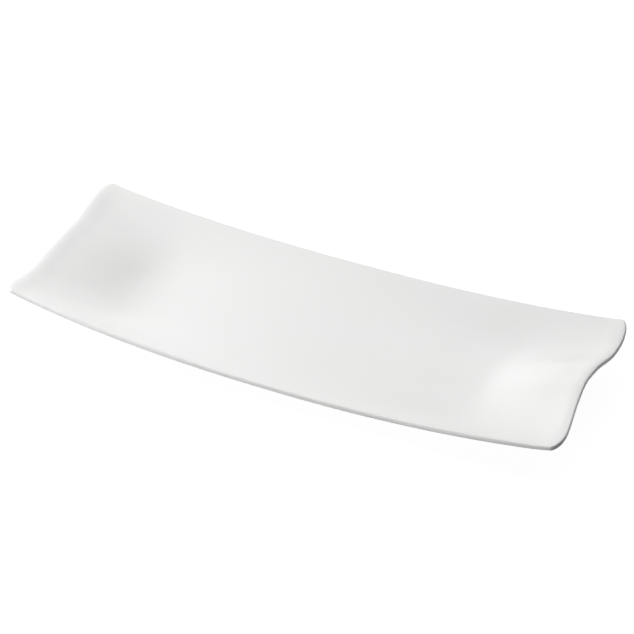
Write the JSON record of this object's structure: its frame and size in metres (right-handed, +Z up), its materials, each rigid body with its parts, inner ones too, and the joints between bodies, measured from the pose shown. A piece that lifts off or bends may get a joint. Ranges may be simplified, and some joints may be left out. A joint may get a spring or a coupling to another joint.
{
  "type": "rectangular serving plate",
  "caption": "Long rectangular glazed porcelain serving plate: shallow dished well, rising waved and dented ends, rounded rim, bare foot ring.",
  "frame": {"origin": "on the table under the middle of the plate, in the plane that the foot ring stands on", "axes": "+X along the plate, +Y across it, +Z up"},
  "size_m": [0.4992, 0.1884, 0.0408],
  "materials": {
    "biscuit": "fired porcelain body under the glaze, dense and matt",
    "bare_foot": "bare porcelain, ground flat and fine-sanded",
    "white_glaze": "clear white glaze, smooth and glossy"
  },
  "bodies": {
    "root": {"porcelain_body": "biscuit", "foot_ring": "bare_foot", "glaze_coat": "white_glaze", "base_glaze": "white_glaze"}
  },
  "joints": []
}
